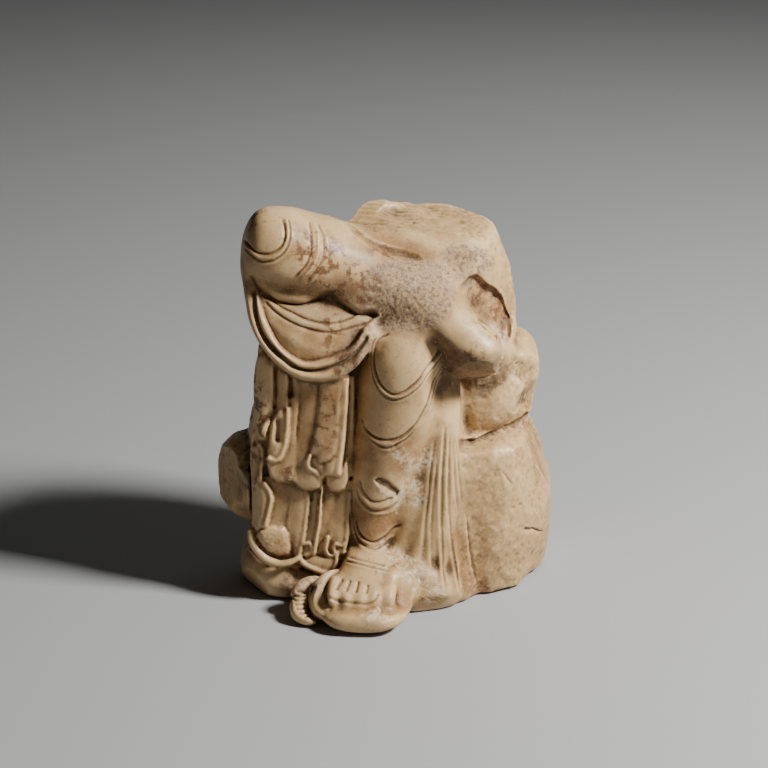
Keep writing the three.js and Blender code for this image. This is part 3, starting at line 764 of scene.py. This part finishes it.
# The stump of the crossed leg and the rocks have flat faces where pieces were struck off, and so has
# the break at the waist, which also ran off in long shallow steps from side to side.
def strike(through, facing, spot, reach):
    """Takes off what stands beyond a plane, within reach of a spot, all in millimetres."""
    facing = np.array(facing, float)
    facing /= np.linalg.norm(facing)
    over = (points - np.array(through, float)) @ facing
    near = ease((reach - np.linalg.norm(points - np.array(spot, float), axis=1)) / (0.35 * reach))
    taken = np.clip(over, 0, None) * near
    points[:] = points - facing * taken[:, None]


STRUCK = [
    # through a point, facing, round a spot, reach
    ((-8, 28, 163.3), (-0.03, -0.33, 0.94), (-8, 26, 163), 18),
    ((39, -29.3, 112.5), (0.0, -0.6, -0.8), (41, -22, 104), 27),
    ((28, -26.5, 118), (-0.6, -0.68, -0.42), (29, -22, 113), 16),
    ((56, -11.5, 50), (0.80, -0.57, 0.18), (62, -4, 45), 34),
    ((50, -20, 108), (0.93, -0.2, 0.3), (48, -20, 108), 20),
    ((38, -27, 122), (0.25, -0.62, 0.74), (40, -26, 118), 18),
    ((66, 8, 68), (0.75, -0.2, 0.63), (66, 8, 66), 26),
    ((72, 10, 30), (0.97, -0.22, 0.05), (70, 8, 30), 34),
    ((50, -16, 34), (0.2, -0.97, 0.12), (54, -14, 36), 32),
    ((64, -6, 14), (0.7, -0.6, -0.35), (64, -6, 12), 22),
    ((64, 8, 100), (0.8, -0.3, 0.5), (62, 8, 102), 18),
    ((55, -6, 90), (0.35, -0.93, 0.1), (54, -4, 90), 20),
    ((-70, 14, 40), (-0.9, -0.4, 0.1), (-66, 12, 44), 24),
    ((-60, 0, 60), (-0.5, -0.5, 0.7), (-56, 8, 60), 20),
    ((-56, -16, 12), (-0.75, -0.5, -0.4), (-54, -14, 10), 20),
    ((0, 52, 60), (0.1, 0.99, 0.1), (0, 50, 60), 50),
    ((-40, 44, 70), (-0.5, 0.8, 0.3), (-40, 44, 70), 40),
]
STEP_HEIGHT = 0.28
STEP_LENGTH = 1.1
STEP_SLANT = 0.12
points = take()
for face in STRUCK:
    strike(*face)
across, away, _ = points.T
steps = np.sin((away + STEP_SLANT * across) / STEP_LENGTH
               + 1.2 * np.sin(across / 7) + 0.8 * np.sin(away / 4.3))
points[:, 2] -= STEP_HEIGHT * np.abs(steps) * on_waist(points, 157, 2, side=6)
put(points)


# Under the hand the stone isn't quite even anywhere. The rocks keep the tooth of the point chisel, the
# bruises and the crust on the lap are coarse, and the break at the waist is a little so.
FRESH_BRUISES = [
    [(3.4, -26.4), (7.7, -27.3), (11.9, -30.7), (18.8, -28.1), (20.5, -33.2), (12.8, -36.6),
     (6.8, -34.1)],
    [(-4.3, -39.2), (0, -42.6), (5.1, -46), (6.8, -49.4), (4.3, -54.5), (1.7, -49.4), (-2.6, -43.5)],
    [(-0.9, -66.5), (3.4, -69), (8.5, -73.3), (15.3, -75.9), (20.5, -83.5), (26.4, -88.6),
     (21.3, -92.9), (15.3, -91.2), (11.1, -83.5), (6, -77.6), (0, -71.6)],
    [(-9.4, -97.2), (-3.4, -95.5), (2.6, -97.2), (0, -100.6), (-6.8, -100.6)],
    [(8.9, -40.9), (15.3, -42.6), (17, -49.4), (11.1, -52), (7.7, -46.9)],
    [(-2.6, -77.6), (0, -77.6), (0, -79.7), (-2.6, -79.7)],
]
CRUST = [
    [(-5.1, 46.4), (3.4, 49.4), (15.3, 49.4), (26, 46.4), (29, 40.1), (26.4, 31.5), (19.6, 26.4),
     (8.9, 24.7), (0.4, 26.4), (-4.3, 35.8)],
]
points, drawing, visible = look()


def patch(outlines, edge):
    """Where outlines lie on what the eye sees, fading over an edge."""
    share = np.zeros(len(points))
    for outline in outlines:
        inside = depth_inside(drawing, flowing(outline, closed=True))
        share = np.maximum(share, ease((inside + edge) / edge))
    return share * visible


GRAIN = [
    # name, size and strength in metres, layers of detail, and where
    ("swells", 0.016, 0.0010, 2, ""),
    ("dents", 0.0065, 0.0011, 3, "rock"),
    ("chisel_tooth", 0.0022, 0.0005, 3, "rock"),
    ("crust", 0.0012, 0.0006, 4, "broken"),
]
waist_break = on_waist(points, 158, 4)
on_rock = ease((points[:, 1] - 2) / 8) + ease((points[:, 0] - 30) / 6) * (points[:, 2] < 105)
on_rock = np.clip(on_rock, 0, 1)
crusted = np.maximum(patch(CRUST, 5), 0.8 * patch([LOBE, CRUMBLED] + FRESH_BRUISES, 3))
weigh("rock", on_rock * (1 - waist_break))
weigh("broken", np.maximum(waist_break * 0.15, crusted))
for name, size, strength, layers, group in GRAIN:
    bumps = bpy.data.textures.new(name, "CLOUDS")
    bumps.noise_scale = size
    bumps.noise_depth = layers
    finish_with("DISPLACE", texture=bumps, strength=strength, mid_level=0.5,
                texture_coords="LOCAL", vertex_group=group)
figure.vertex_groups.clear()

# The front keeps the finer facets, and the rocks behind it make do with fewer.
FRONT_AND_BACK = 285000
FINISHED_TRIANGLES = 190000
finish_with("TRIANGULATE")
finish_with("DECIMATE", ratio=FRONT_AND_BACK / len(figure.data.polygons))
points = take()
weigh("behind", in_view(points) < 0.5)
ratio = FINISHED_TRIANGLES / len(figure.data.polygons)
finish_with("DECIMATE", ratio=ratio, vertex_group="behind")
figure.vertex_groups.clear()
# No chip or bump may stand out of the block.
low, high = np.array([list(corner) for corner in cad_box]) * 1000
put(np.clip(take(), low, high))
pick(figure)
bpy.ops.object.shade_smooth()

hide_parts("marble_figure")
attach(figure, "root")


# The marble is a warm ivory, waxy where it is worn and chalky where it is bruised. Its edges, ridges
# and swells are painted lighter, for wear and as painted highlight, and its crystals carry painted
# glints.
# Brown soil sits in every cut, with painted shade in the cuts and hollows, on faces turned down, under
# the legs and, with dark patina, under the stump; amber stains run over the swells, and rust-red specks
# are scattered on the lap and thigh.
IVORY = (0.57, 0.365, 0.165)
HONEY = (0.37, 0.22, 0.085)
AMBER = (0.27, 0.12, 0.032)
# Dark brown, for soil and for painted shade.
SOIL_AND_SHADE = (0.060, 0.027, 0.010)
RUST = (0.16, 0.062, 0.022)
GREY_CRUST = (0.36, 0.245, 0.15)
CHALK = (0.74, 0.60, 0.42)
# Pale cream, for wear and painted highlight.
WEAR_AND_HIGHLIGHT_CREAM = (0.70, 0.48, 0.24)
PIT_BROWN = (0.115, 0.062, 0.038)
GRIT_BROWN = (0.25, 0.13, 0.05)
# Painted glint of the crystals.
GLINT = (0.74, 0.52, 0.29)
SHARP_ROUNDS = 4
BROAD_ROUNDS = 40

AMBER_STAINS = [
    [(-58.8, 67.8), (-52, 72), (-44.3, 64.8), (-35.8, 52), (-23, 45.2), (-13.6, 40.1), (-14.5, 34.1),
     (-27.3, 34.9), (-40.1, 35.8), (-52, 39.2), (-58.8, 47.7)],
    [(-60.1, 43.5), (-57.1, 42.6), (-55.4, 29.4), (-51.1, 16.6), (-42.6, 9.4), (-44.3, 6.8),
     (-52, 13.6), (-58, 25.1)],
    [(-52, 33.7), (-35.8, 23), (-14.5, 21.3), (-10.2, 16.6), (-16.6, 13.6), (-29, 10.2),
     (-40.1, 12.8), (-47.7, 21.3)],
    [(-11.9, 63.1), (-5.1, 61.4), (6.8, 58.8), (22.2, 57.1), (23.9, 53.7), (8.5, 52), (-2.6, 54.5),
     (-10.2, 57.1)],
    [(38.4, 42.2), (45.2, 39.2), (50.3, 31.5), (53.7, 26.4), (54.5, 18.8), (49.4, 16.6), (44.3, 27.3)],
    [(60.5, -10.2), (66.5, -16.2), (69.9, -28.1), (70.3, -39.2), (66.5, -36.6), (63.9, -23.9)],
    [(-3.4, 16.6), (3.4, 19.6), (11.1, 16.6), (14.5, 9.4), (11.1, 1.7), (3.4, -1.7), (-2.6, 5.1)],
    [(-10.2, -19.6), (-1.7, -23.9), (11.1, -23), (11.9, -30.3), (5.1, -36.6), (-7.7, -36.6),
     (-11.1, -30.3)],
    [(-11.1, -51.6), (-5.1, -54.5), (3.4, -54.5), (5.1, -61.4), (-2.6, -66.5), (-10.2, -64.8)],
    [(29, -66.5), (34.9, -68.6), (42.6, -88.6), (36.6, -92), (31.5, -83.5)],
    [(-23, -100.6), (-14.5, -104), (5.1, -101.4), (11.9, -94.6), (8.5, -90.3), (-1.7, -94.6),
     (-14.5, -97.2)],
    [(-37.5, -6.8), (-28.1, -6), (-18.8, -6.8), (-19.6, -28.1), (-28.1, -28.1), (-35.8, -23.9)],
    [(-58.8, -40.9), (-52, -42.6), (-48.6, -53.7), (-52, -62.2), (-40.1, -66.5), (-40.1, -73.3),
     (-52, -71.6), (-58, -62.2)],
]
# Dark brown patina under the stump of the crossed leg, with painted shadow there as well.
DARK_PATINA_AND_SHADOW = [
    [(23, 23), (26.4, 18.8), (32, 13.6), (36.6, 11.5), (40.9, 10.7), (45.2, 10.7), (49.9, 11.9),
     (50.7, 5.1), (46.9, 0.9), (40.9, -3.4), (34.9, -4.3), (29.8, -2.6), (26.4, 4.3), (23.9, 13.6)],
]
# Painted shadow: under the raised shin, over the top of the swag's hollow, and down the left side of
# the hanging shin.
SHADED_SKIN = [
    [(-53.7, 40.1), (-46.4, 36.6), (-35.8, 34.5), (-23, 36.6), (-17.9, 34.1), (-11.1, 30.3),
     (-7.7, 27.3), (-18.8, 26.8), (-31.5, 26.8), (-42.2, 30.7), (-50.7, 35.8)],
    [(-58.4, 52), (-52, 46), (-40.1, 41.8), (-28.1, 40.1), (-19.6, 43.5), (-13.6, 40.9), (-17, 35.8),
     (-28.1, 34.1), (-40.9, 34.9), (-52, 38.4), (-58.4, 44.3)],
    [(-11.1, -23.9), (-7.7, -23.9), (-8.5, -49.4), (-11.9, -66.5), (-14.5, -66.5), (-13.6, -49.4)],
]
GREY_PATCHES = [
    [(-5.1, 47.7), (0.9, 51.1), (11.1, 51.1), (23.9, 49.4), (29, 43.5), (28.1, 35.8), (23.9, 29),
     (17, 24.7), (6.8, 23.9), (0, 24.7), (-4.3, 29), (-9.4, 36.6)],
    [(28.1, 56.2), (33.2, 58.8), (40.9, 56.2), (45.2, 52), (40.9, 47.7), (35.8, 43.5), (30.7, 46)],
    [(-14.5, 18.8), (-8.5, 23.9), (-5.1, 20.5), (-9.4, 11.9), (-15.3, 6), (-18.8, 7.7)],
    [(-40.1, -81.4), (-31.5, -81), (-29, -86.1), (-35.8, -88.6), (-41.8, -86.9)],
]
RUST_SPECKS = [
    [(-36.6, 62.2), (-29, 63.1), (-18.8, 57.1), (-9.4, 49.4), (-3.4, 42.6), (-5.1, 35.8),
     (-13.6, 35.8), (-23, 40.9), (-30.7, 46), (-35.8, 52)],
    [(-26.4, 33.2), (-22.6, 33.2), (-20, 23), (-20.5, 13.6), (-23, 13.6), (-24.7, 22.2)],
    [(-21.3, 10.2), (-14.5, 11.9), (-13.6, 5.1), (-19.6, 4.3)],
    [(-58.4, 73.3), (-53.7, 73.3), (-53.7, 67.3), (-58, 66.5)],
    [(-26.4, -6.8), (-21.3, -7.7), (-23, -23.9), (-28.1, -24.7)],
    [(32.4, 14.5), (39.2, 14.5), (40.9, 9.4), (34.1, 9.4)],
    [(37.5, 40.1), (43.5, 40.9), (49.4, 33.2), (52, 23), (46.9, 19.6), (40.9, 28.1)],
    [(-41.8, -36.6), (-34.9, -36.6), (-34.9, -42.6), (-40.1, -41.8)],
    [(-57.1, -4.7), (-52, -4.7), (-52, -36.6), (-59.7, -40.9)],
    [(-3.4, 57.1), (6.8, 58), (6.8, 53.7), (-1.7, 53.7)],
]


def hollows(rounds):
    """How deep each point lies below the skin round it, in millimetres, by rounds of averaging."""
    smooth = points.copy()
    for _ in range(rounds):
        total = np.zeros_like(smooth)
        np.add.at(total, edges[:, 0], smooth[edges[:, 1]])
        np.add.at(total, edges[:, 1], smooth[edges[:, 0]])
        smooth = total / counts[:, None]
    return np.einsum("ij,ij->i", smooth - points, normals)


def keep(name, values):
    """Keeps a number for each point, for the material to read."""
    attribute = figure.data.attributes.new(name, "FLOAT", "POINT")
    attribute.data.foreach_set("value", np.clip(values, 0, 1).astype(np.float32))


edges = np.empty(len(figure.data.edges) * 2, np.int32)
figure.data.edges.foreach_get("vertices", edges)
edges = edges.reshape(-1, 2)
counts = np.bincount(edges.ravel(), minlength=len(figure.data.vertices)).astype(float)
points, drawing, visible = look(6)
normals = read(figure.data.vertex_normals, "vector")
visible *= ease(-(normals @ ONWARD) / 0.12)
sharp = hollows(SHARP_ROUNDS)
broad = hollows(BROAD_ROUNDS)
# Painted shade on faces turned downward.
painted_shade_below = ease((-normals[:, 2] - 0.15) / 0.7)
# Patina and painted shadow from the outlines above.
patina_and_painted_shadow = np.maximum(patch(DARK_PATINA_AND_SHADOW, 4), 0.45 * patch(SHADED_SKIN, 6))
# Soil in the cuts and painted shade in every crease and hollow: the deeper a point lies, the darker.
soil_and_shade_in_cuts = ease(sharp / 0.22) * 0.8 + ease((broad - 0.25) / 1.6) * 0.75
keep("soil_and_shade", soil_and_shade_in_cuts + 0.55 * painted_shade_below + 0.8 * patina_and_painted_shadow)
# Wear and painted highlight: edges, ridges and swells are painted lighter.
keep("wear_and_highlight", ease((-sharp - 0.02) / 0.2) * 0.7 + ease((-broad - 0.1) / 1.2) * 0.6)
keep("amber", patch(AMBER_STAINS, 6))
keep("grey", patch(GREY_PATCHES, 4))
keep("rust", patch(RUST_SPECKS, 5))
keep("chalk", patch(FRESH_BRUISES, 1.5))

marble = bpy.data.materials.new("marble")
marble.use_nodes = True
tree = marble.node_tree
shader = tree.nodes["Principled BSDF"]


def feed(socket, value):
    """Links a socket to another node's output, or sets its plain value."""
    if isinstance(value, bpy.types.NodeSocket):
        tree.links.new(value, socket)
    else:
        socket.default_value = value


def node_of(kind, **inputs):
    """Adds a node, with its inputs fed by name."""
    made = tree.nodes.new(kind)
    for name, value in inputs.items():
        feed(made.inputs[name.replace("_", " ")], value)
    return made


place = tree.nodes.new("ShaderNodeTexCoord").outputs["Object"]


def cloud(size, detail=4.0, roughness=0.55):
    """Soft noise whose patches are about `size` metres across."""
    return node_of("ShaderNodeTexNoise", Vector=place, Scale=0.6 / size, Detail=detail,
                   Roughness=roughness).outputs["Fac"]


def between(value, low, high, start=0.0, end=1.0):
    """Stretches a value so that low and high become start and end."""
    ramp = node_of("ShaderNodeMapRange", Value=value, From_Min=low, From_Max=high,
                   To_Min=start, To_Max=end)
    ramp.interpolation_type = "SMOOTHSTEP"
    return ramp.outputs["Result"]


def combine(operation, first, second):
    made = tree.nodes.new("ShaderNodeMath")
    made.operation = operation
    made.use_clamp = True
    feed(made.inputs[0], first)
    feed(made.inputs[1], second)
    return made.outputs["Value"]


def times(first, second):
    return combine("MULTIPLY", first, second)


def tint(colour, over, share):
    """Lays one colour over another by a share."""
    mix = tree.nodes.new("ShaderNodeMix")
    mix.data_type = "RGBA"
    tree.links.new(share, mix.inputs["Factor"])
    for socket, value in (("A", over), ("B", colour)):
        target = next(s for s in mix.inputs if s.name == socket and s.type == "RGBA")
        feed(target, (*value, 1) if isinstance(value, tuple) else value)
    return next(s for s in mix.outputs if s.type == "RGBA")


def attribute(name):
    made = tree.nodes.new("ShaderNodeAttribute")
    made.attribute_name = name
    return made.outputs["Fac"]


soil_and_shade, wear_and_highlight, grey, chalk = (attribute(name) for name in ("soil_and_shade", "wear_and_highlight", "grey", "chalk"))
wide = cloud(0.028, 3.0)
blotch = cloud(0.011, 5.0)
fleck = cloud(0.0024, 6.0, 0.65)
grit = cloud(0.0011, 4.0, 0.7)
crystal = cloud(0.0006, 2.0, 0.5)

colour = tint(HONEY, IVORY, between(wide, 0.42, 0.62, 0.05, 0.75))
colour = tint(IVORY, colour, between(blotch, 0.5, 0.68, 0.0, 0.55))
stain = times(attribute("amber"), between(blotch, 0.34, 0.6, 0.15, 1.0))
colour = tint(AMBER, colour, times(stain, 0.75))
colour = tint(AMBER, colour, times(between(blotch, 0.36, 0.28), between(fleck, 0.4, 0.6)))
# Wear and painted highlight, lighter on edges, ridges and swells.
colour = tint(WEAR_AND_HIGHLIGHT_CREAM, colour, times(wear_and_highlight, 0.7))
crust = times(grey, between(fleck, 0.36, 0.58, 0.1, 0.85))
colour = tint(GREY_CRUST, colour, crust)
crust_pits = times(grey, between(grit, 0.52, 0.42))
colour = tint(PIT_BROWN, colour, times(crust_pits, 0.6))
specks = times(attribute("rust"), between(fleck, 0.50, 0.58))
colour = tint(RUST, colour, times(specks, 0.9))
colour = tint(CHALK, colour, times(chalk, between(fleck, 0.44, 0.62, 0.0, 0.7)))
stray = times(between(fleck, 0.665, 0.72), between(wide, 0.5, 0.62))
colour = tint(RUST, colour, stray)
# Soil and painted shade: dark brown in the cuts and hollows, under the legs and on faces turned down.
dirt_and_shade = times(soil_and_shade, between(blotch, 0.3, 0.6, 0.55, 1.0))
colour = tint(SOIL_AND_SHADE, colour, times(dirt_and_shade, 0.85))
colour = tint(GRIT_BROWN, colour, between(grit, 0.44, 0.30, 0.0, 0.55))
# Painted glints: fine crystal specks painted lighter.
colour = tint(GLINT, colour, between(crystal, 0.56, 0.70, 0.0, 0.25))
tree.links.new(colour, shader.inputs["Base Color"])

polish = combine("SUBTRACT", between(blotch, 0.3, 0.7, 0.38, 0.55), times(wear_and_highlight, 0.08))
dull = combine("MAXIMUM", combine("MAXIMUM", grey, chalk), soil_and_shade)
tree.links.new(combine("ADD", polish, times(dull, 0.3)), shader.inputs["Roughness"])
shader.inputs["Subsurface Weight"].default_value = 0.1
shader.inputs["Subsurface Radius"].default_value = (1.0, 0.55, 0.28)
shader.inputs["Subsurface Scale"].default_value = 0.0025
shader.inputs["Specular IOR Level"].default_value = 0.45

grain_height = combine("ADD", times(grit, 0.6), times(crystal, 0.4))
bump = node_of("ShaderNodeBump", Height=grain_height, Strength=0.45, Distance=0.0003)
tree.links.new(bump.outputs["Normal"], shader.inputs["Normal"])
figure.data.materials.append(marble)


# The stone stands on a plain pale floor in plain studio light: a key lamp at the upper right, a weak
# broad fill at the left, and a broad lamp behind.
bpy.ops.mesh.primitive_plane_add(size=6, location=(0, 0, 0))
floor = bpy.context.object
floor.name = "floor"
floor_paint = bpy.data.materials.new("floor_paint")
floor_paint.use_nodes = True
floor_shader = floor_paint.node_tree.nodes["Principled BSDF"]
floor_shader.inputs["Base Color"].default_value = (0.40, 0.397, 0.393, 1)
floor_shader.inputs["Roughness"].default_value = 0.8
floor.data.materials.append(floor_paint)

LAMP_AIM = Vector((0, 0, 0.08))
LAMPS = [
    # name, place in metres, size, watts
    ("key", (0.76, -0.28, 0.81), 0.2, 27),
    ("fill", (-0.9, -0.9, 0.5), 1.0, 0.15),
    ("back", (0.2, 0.9, 0.8), 0.8, 1.0),
]
for name, place, size, watts in LAMPS:
    bpy.ops.object.light_add(type="AREA", location=place)
    lamp = bpy.context.object
    lamp.name = name
    lamp.data.size = size
    lamp.data.energy = watts
    lamp.rotation_euler = (LAMP_AIM - lamp.location).to_track_quat("-Z", "Y").to_euler()

world = bpy.data.worlds.new("studio")
world.use_nodes = True
sky = world.node_tree.nodes["Background"]
sky.inputs["Color"].default_value = (0.75, 0.78, 0.82, 1)
sky.inputs["Strength"].default_value = 0.025
bpy.context.scene.world = world
